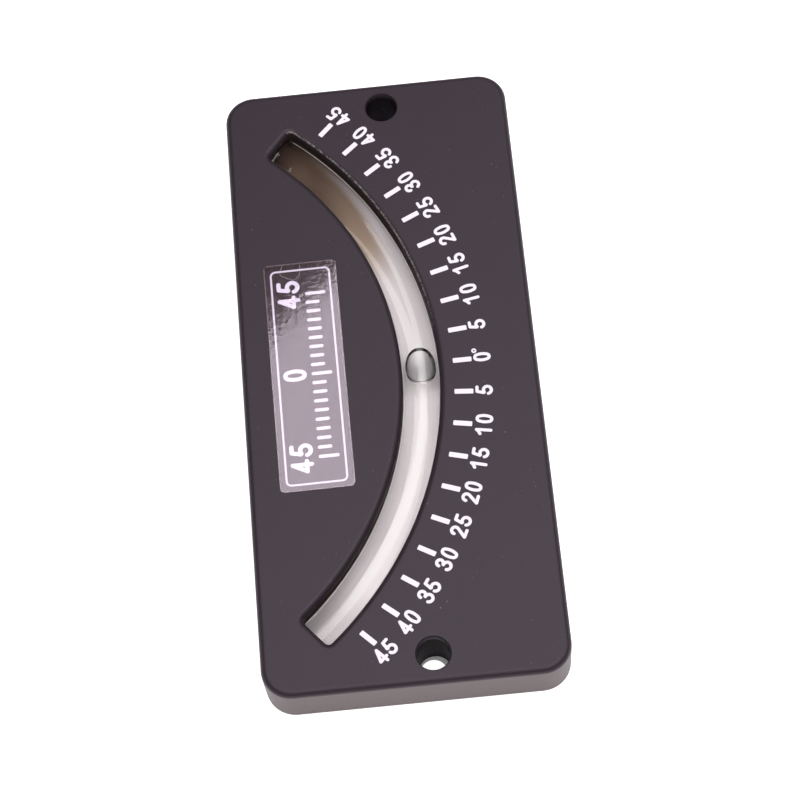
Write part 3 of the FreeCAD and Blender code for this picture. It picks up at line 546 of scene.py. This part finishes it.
def pen_stroke(bm, start, heading, moves, width, height):
    """One stroke with round ends, slightly domed, drawn in the XY plane."""
    spot = Vector((*start, 0)) * MM
    heading = math.radians(heading)
    side = Vector((math.sin(heading), -math.cos(heading), 0))
    verts = [bm.verts.new(spot + side * across * width / 2 + Vector((0, 0, up * height))) for across, up in NIB]
    edges = [bm.edges.new(pair) for pair in zip(verts, verts[1:])]
    half_turn(bm, edges, spot, -side)
    for move in moves:
        ahead = Vector((math.cos(heading), math.sin(heading), 0))
        if isinstance(move, tuple):
            radius, turn = move[0] * MM, math.radians(move[1])
            left = Vector((-ahead.y, ahead.x, 0)) * math.copysign(1, turn)
            centre = spot + left * radius
            steps = max(2, round(abs(move[1]) / BEND_STEP))
            spun = bmesh.ops.spin(bm, geom=edges, cent=centre, axis=(0, 0, 1), angle=turn, steps=steps)
            edges = only(spun["geom_last"], bmesh.types.BMEdge)
            spot = centre + Matrix.Rotation(turn, 3, "Z") @ (spot - centre)
            heading += turn
        else:
            grown = bmesh.ops.extrude_edge_only(bm, edges=edges)["geom"]
            verts = only(grown, bmesh.types.BMVert)
            bmesh.ops.translate(bm, vec=ahead * move * MM, verts=verts)
            edges = [edge for edge in only(grown, bmesh.types.BMEdge) if all(vert in verts for vert in edge.verts)]
            spot = spot + ahead * move * MM
    half_turn(bm, edges, spot, Vector((math.sin(heading), -math.cos(heading), 0)))


def draw_glyph(bm, glyph, matrix, scale=1.0, width=PEN_WIDTH):
    """Draws a glyph and moves it to its place. Each stroke is a touch higher than the last, so that none coincide."""
    inked = bmesh.new()
    for number, (start, heading, moves) in enumerate(GLYPHS[glyph]):
        pen_stroke(inked, start, heading, moves, width / scale, INK_HEIGHT * (1 + 0.1 * number))
    bmesh.ops.remove_doubles(inked, verts=inked.verts, dist=0.002 * MM)
    bmesh.ops.scale(inked, vec=(scale, scale, 1), verts=inked.verts)
    bmesh.ops.transform(inked, matrix=matrix, verts=inked.verts)
    drawn = bpy.data.meshes.new(glyph)
    inked.to_mesh(drawn)
    inked.free()
    bm.from_mesh(drawn)
    bpy.data.meshes.remove(drawn)


NUMERAL_BASE_RADIUS = 86.4 * MM
SINGLE_BASE_RADIUS = 86.2 * MM
SINGLE_SHIFT = 0.24 * MM
PAIR_SHIFTS = (-1.25 * MM, 1.29 * MM)
ONE_SHIFT = -0.08 * MM
DEGREE_RADIUS = 83.25 * MM
DEGREE_SHIFT = 1.76 * MM
DEGREE_PEN = 0.36 * MM


def make_scale_numerals():
    """The angle at each tick, upright towards the middle of the arc."""
    bm = bmesh.new()
    for number in range(-TICKS_EACH_SIDE, TICKS_EACH_SIDE + 1):
        angle = number * TICK_STEP
        text = str(abs(number) * 5)
        upright = Matrix.Rotation(angle, 4, "Z")
        base = SINGLE_BASE_RADIUS if len(text) == 1 else NUMERAL_BASE_RADIUS
        shifts = [SINGLE_SHIFT] if len(text) == 1 else PAIR_SHIFTS
        spot = Matrix.Translation(on_arc(base, angle, FACE_Z - INK_SINK)) @ upright
        for digit, shift in zip(text, shifts):
            shift += ONE_SHIFT if digit == "1" else 0
            draw_glyph(bm, digit, spot @ Matrix.Translation((shift, 0, 0)))
    ring = Matrix.Translation(on_arc(DEGREE_RADIUS, 0, FACE_Z - INK_SINK) + Vector((DEGREE_SHIFT, 0, 0)))
    draw_glyph(bm, "degree", ring, width=DEGREE_PEN)
    finish_piece("scale_numerals", bm, INK_WHITE)


LABEL_PRINT_Z = FILM_LOW.z + 0.02 * MM
FRAME_X = (-23.8, 24.2)
FRAME_Y = (10.4, 22.5)
FRAME_CORNER = 1.0
FRAME_LINE = 0.42 * MM
LABEL_NUMBERS = ((-18.2, "45"), (0.2, "0"), (18.6, "45"))
LABEL_BASE = 17.2
LABEL_DIGIT_PITCH = 3.5
LABEL_DIGIT_SCALE = 1.34
LABEL_PEN = 0.9 * MM
LABEL_TICK_MIDDLE = 0.2
LABEL_TICK_PITCH = 2.04
LABEL_TICK_TOP = 15.4
LONG_TICK_FOOT = 11.9
SHORT_TICK_FOOT = 13.2
LABEL_TICK_WIDTH = 0.75 * MM


def make_label_print():
    """The label's print, under its film: a frame, the numbers of the range and a row of ticks."""
    bm = bmesh.new()
    long, short = (high - low - 2 * FRAME_CORNER for low, high in (FRAME_X, FRAME_Y))
    start = (FRAME_X[0] + FRAME_CORNER, FRAME_Y[0])
    bend = (FRAME_CORNER, 90)
    pen_stroke(bm, start, 0, [long, bend, short, bend, long, bend, short, bend], FRAME_LINE, INK_HEIGHT)
    for middle, text in LABEL_NUMBERS:
        for place, digit in enumerate(text):
            x = middle + (place - (len(text) - 1) / 2) * LABEL_DIGIT_PITCH
            spot = Matrix.Translation((x * MM, LABEL_BASE * MM, 0))
            draw_glyph(bm, digit, spot, scale=LABEL_DIGIT_SCALE, width=LABEL_PEN)
    for number in range(-TICKS_EACH_SIDE, TICKS_EACH_SIDE + 1):
        foot = LONG_TICK_FOOT if number % TICKS_EACH_SIDE == 0 else SHORT_TICK_FOOT
        x = LABEL_TICK_MIDDLE + number * LABEL_TICK_PITCH
        pen_stroke(bm, (x, foot), 90, [LABEL_TICK_TOP - foot], LABEL_TICK_WIDTH, INK_HEIGHT)
    bmesh.ops.translate(bm, vec=(0, 0, LABEL_PRINT_Z), verts=bm.verts)
    about = Vector((LABEL_CENTRE.x, LABEL_CENTRE.y, 0))
    bmesh.ops.rotate(bm, cent=about, matrix=Matrix.Rotation(LABEL_TILT, 3, "Z"), verts=bm.verts)
    finish_piece("label_print", bm, INK_WHITE)


FILM_CREASE = (
    (25.40, 20.20), (23.95, 20.85), (23.15, 20.50), (21.98, 18.20), (22.05, 17.65), (23.10, 16.70), (25.35, 16.52)
)
CREASE_WIDTH = 0.17 * MM


def make_film_crease():
    """The outline of an air pocket under the film, at its end."""
    bm = bmesh.new()
    for number, (start, end) in enumerate(zip(FILM_CREASE, FILM_CREASE[1:])):
        way = Vector(end) - Vector(start)
        heading = math.degrees(math.atan2(way.y, way.x))
        pen_stroke(bm, start, heading, [way.length], CREASE_WIDTH, INK_HEIGHT * (0.5 + 0.05 * number))
    bmesh.ops.translate(bm, vec=(0, 0, LABEL_PRINT_Z), verts=bm.verts)
    finish_piece("label_film_crease", bm, CREASE_GREY)


def dress(node, material):
    """Gives a node that is shown as it is its finish."""
    mesh = frame["nodes"][node].data
    mesh.materials.clear()
    mesh.materials.append(material)


make_vial()
make_bubble()
make_scale_numerals()
make_label_print()
make_film_crease()
dress("housing", HOUSING_PLASTIC)
dress("back_plate", PLATE_PLASTIC)
dress("back_plate_screws", SCREW_STEEL)
dress("vial_backing", SLEEVE_PLASTIC)
dress("end_cushion_left", CUSHION_RUBBER)
dress("end_cushion_right", CUSHION_RUBBER)
dress("scale_ticks", INK_WHITE)
dress("label_film", FILM_CLEAR)


# ---- Studio ----

SOFTBOX_HEIGHT = 1.0
SOFTBOX_TURN = math.radians(42)
SOFTBOX_X = (-0.65, 0.44)
SOFTBOX_Y = (-0.80, 0.60)
SOFTBOX_POWER = 16.2
AMBIENT = 0.48
FLOOR_GLOW = 0.82
FLOOR_SIZE = 6.0
FLOOR_DEPTH = -0.1 * MM
CEILING_SIZE = 4.0
CEILING_GAP = 0.05
SHADE_SHIFT = 0.35 * MM
SHADE_INSIDE = 2.65 * MM
SHADE_OUTSIDE = 4.5 * MM


def add_softbox():
    """One large soft box overhead, turned a little, whose far edge shows in the film and the glass."""
    light = bpy.data.lights.new("softbox", "AREA")
    light.shape = "RECTANGLE"
    light.size = SOFTBOX_X[1] - SOFTBOX_X[0]
    light.size_y = SOFTBOX_Y[1] - SOFTBOX_Y[0]
    light.energy = SOFTBOX_POWER
    lamp = bpy.data.objects.new("softbox", light)
    turn = Matrix.Rotation(SOFTBOX_TURN, 4, "Z")
    lamp.matrix_world = turn @ Matrix.Translation((sum(SOFTBOX_X) / 2, sum(SOFTBOX_Y) / 2, SOFTBOX_HEIGHT))
    bpy.context.scene.collection.objects.link(lamp)


def seen_directly(nodes, links):
    """1 for rays from the camera, a mirror or glass, which see the white background."""
    path = add_node(nodes, "ShaderNodeLightPath")
    camera_or_mirror = add_node(nodes, "ShaderNodeMath", operation="MAXIMUM")
    any_of_them = add_node(nodes, "ShaderNodeMath", operation="MAXIMUM")
    links.new(path.outputs["Is Camera Ray"], camera_or_mirror.inputs[0])
    links.new(path.outputs["Is Glossy Ray"], camera_or_mirror.inputs[1])
    links.new(camera_or_mirror.outputs[0], any_of_them.inputs[0])
    links.new(path.outputs["Is Transmission Ray"], any_of_them.inputs[1])
    return any_of_them.outputs[0]


def light_the_room():
    world = bpy.data.worlds.new("studio")
    bpy.context.scene.world = world
    world.use_nodes = True
    nodes, links = world.node_tree.nodes, world.node_tree.links
    nodes.clear()
    out = add_node(nodes, "ShaderNodeOutputWorld")
    room = add_node(nodes, "ShaderNodeBackground")
    room.inputs["Strength"].default_value = AMBIENT
    white = add_node(nodes, "ShaderNodeBackground")
    choice = add_node(nodes, "ShaderNodeMixShader")
    links.new(seen_directly(nodes, links), choice.inputs["Fac"])
    links.new(room.outputs["Background"], choice.inputs[1])
    links.new(white.outputs["Background"], choice.inputs[2])
    links.new(choice.outputs["Shader"], out.inputs["Surface"])
    room.inputs["Color"].default_value = (1, 1, 1, 1)
    white.inputs["Color"].default_value = (1, 1, 1, 1)


def stage_sheet(name, half_size, height, material):
    bm = bmesh.new()
    bmesh.ops.create_grid(bm, x_segments=1, y_segments=1, size=half_size)
    bmesh.ops.translate(bm, vec=(0, 0, height), verts=bm.verts)
    mesh = bpy.data.meshes.new(name)
    bm.to_mesh(mesh)
    bm.free()
    mesh.materials.append(material)
    sheet = bpy.data.objects.new(name, mesh)
    bpy.context.scene.collection.objects.link(sheet)
    return sheet


def floor_material():
    """White, a little brighter where it is seen directly, so that it is white round the object and keeps its shadow.

    Deep in the mounting holes it only glows in the middle, as the hole's rim shades the rest.
    """
    material, nodes, links = new_material("floor_white")
    out = add_node(nodes, "ShaderNodeOutputMaterial")
    paper = add_node(nodes, "ShaderNodeBsdfDiffuse")
    paper.inputs["Color"].default_value = (0.8, 0.8, 0.8, 1)
    glow = add_node(nodes, "ShaderNodeEmission")
    place = add_node(nodes, "ShaderNodeTexCoord")
    axes = add_node(nodes, "ShaderNodeSeparateXYZ")
    links.new(place.outputs["Object"], axes.inputs["Vector"])
    off_x = math_node(nodes, links, "SUBTRACT", math_node(nodes, links, "ABSOLUTE", axes.outputs["X"]), MOUNT_HOLE.x)
    off_y = math_node(nodes, links, "SUBTRACT", axes.outputs["Y"], MOUNT_HOLE.y + SHADE_SHIFT)
    square = math_node(nodes, links, "MULTIPLY", off_x, off_x)
    away = math_node(nodes, links, "SQRT", math_node(nodes, links, "MULTIPLY_ADD", off_y, off_y, square))
    shaded = math_node(nodes, links, "GREATER_THAN", away, SHADE_INSIDE)
    near = math_node(nodes, links, "LESS_THAN", away, SHADE_OUTSIDE)
    dim = math_node(nodes, links, "MULTIPLY", shaded, near)
    glowing = math_node(nodes, links, "MULTIPLY_ADD", dim, -FLOOR_GLOW, FLOOR_GLOW)
    both = add_node(nodes, "ShaderNodeAddShader")
    links.new(math_node(nodes, links, "MULTIPLY", seen_directly(nodes, links), glowing), glow.inputs["Strength"])
    links.new(paper.outputs["BSDF"], both.inputs[0])
    links.new(glow.outputs["Emission"], both.inputs[1])
    links.new(both.outputs["Shader"], out.inputs["Surface"])
    return material


CEILING_BROWN = grained_surface("ceiling_brown", (0.42, 0.27, 0.27), (0.38, 0.24, 0.24), 0.9)

add_softbox()
light_the_room()
stage_sheet("floor", FLOOR_SIZE, FLOOR_DEPTH, floor_material())
ceiling = stage_sheet("ceiling", CEILING_SIZE, SOFTBOX_HEIGHT + CEILING_GAP, CEILING_BROWN)
ceiling.visible_camera = False


# ---- Camera ----

CAMERA_PLACE = Vector((-204.36, -7.25, 438.08)) * MM
CAMERA_TARGET = Vector((-7.55, -1.57, 12.0)) * MM
CAMERA_ROLL = math.radians(-7.195)
CAMERA_LENS = 105.05


def add_camera():
    camera = bpy.data.objects.new("camera", bpy.data.cameras.new("camera"))
    camera.data.lens = CAMERA_LENS
    camera.data.sensor_width = 36
    camera.location = CAMERA_PLACE
    camera.rotation_mode = "QUATERNION"
    look = (CAMERA_TARGET - CAMERA_PLACE).to_track_quat("-Z", "Y")
    camera.rotation_quaternion = look @ Quaternion((0, 0, 1), CAMERA_ROLL)
    camera.data.clip_start = 0.01
    bpy.context.scene.collection.objects.link(camera)
    bpy.context.scene.camera = camera


add_camera()
bpy.context.scene.view_settings.view_transform = "Standard"
